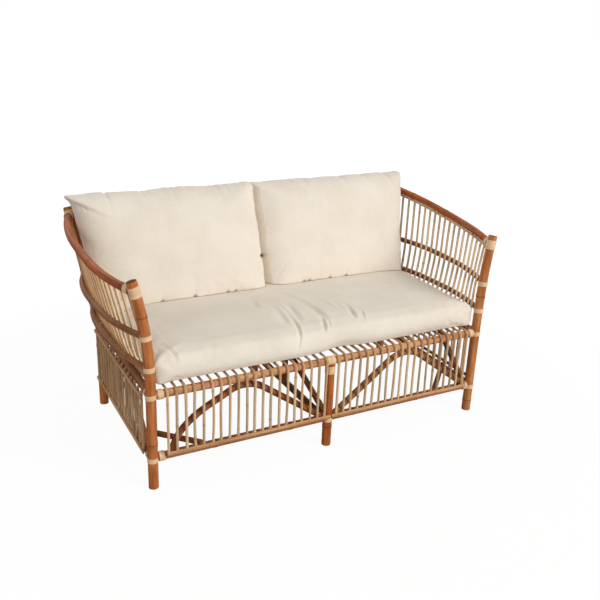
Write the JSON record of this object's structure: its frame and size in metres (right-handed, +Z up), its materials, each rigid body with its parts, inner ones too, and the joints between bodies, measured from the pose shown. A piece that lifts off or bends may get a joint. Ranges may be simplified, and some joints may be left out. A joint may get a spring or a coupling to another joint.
{
  "type": "garden sofa",
  "caption": "Pole-frame rattan sofa with bowed arms, cane spindles that bend over the front rail into the seat deck, arched braces, a bench cushion and back pillows",
  "frame": {"origin": "on the floor, in the middle of the overall width and depth", "axes": "+X to the right seen from the front, +Y from the front edge to the back, +Z up"},
  "size_m": [1.4732, 0.745, 0.7956],
  "materials": {
    "pole": "satin varnish over rattan pole",
    "rail": "satin varnish over light rattan pole",
    "brace": "dull dark rattan pole",
    "cane": "pale natural cane, lightly varnished",
    "canvas": "matt woven canvas"
  },
  "bodies": {
    "root": {"front_post_left": "pole", "front_post_right": "pole", "back_post_left": "pole", "back_post_right": "pole", "front_centre_leg": "pole", "back_centre_post": "pole", "front_seat_rail": "rail", "front_bottom_rail_left": "rail", "front_bottom_rail_right": "rail", "back_bottom_rail_left": "rail", "back_bottom_rail_right": "rail", "back_seat_rail_left": "rail", "back_seat_rail_right": "rail", "back_lower_rail_left": "pole", "back_lower_rail_right": "pole", "back_mid_rail_left": "pole", "back_mid_rail_right": "pole", "back_top_rail": "pole", "arm_rail_left": "pole", "side_mid_rail_left": "pole", "side_lower_rail_left": "pole", "side_seat_rail_left": "rail", "side_bottom_rail_left": "rail", "arm_rail_right": "pole", "side_mid_rail_right": "pole", "side_lower_rail_right": "pole", "side_seat_rail_right": "rail", "side_bottom_rail_right": "rail", "deck_support_rail": "rail", "centre_cross_rail": "brace", "centre_deck_post": "brace", "front_arch_left": "brace", "front_arch_right": "brace", "back_arch_left": "brace", "back_arch_right": "brace", "side_arch_left": "brace", "side_arch_right": "brace", "centre_arch": "brace", "front_corner_brace_left": "brace", "back_corner_brace_left": "brace", "front_corner_brace_right": "brace", "back_corner_brace_right": "brace", "front_spindles_left": "cane", "front_spindles_right": "cane", "side_lower_spindles_left": "cane", "side_lower_spindles_right": "cane", "back_lower_spindles": "cane", "arm_spindles_left": "cane", "arm_spindles_right": "cane", "back_spindles_left": "cane", "back_spindles_right": "cane", "seat_cushion": "canvas", "back_cushion_left": "canvas", "back_cushion_right": "canvas"}
  },
  "joints": []
}
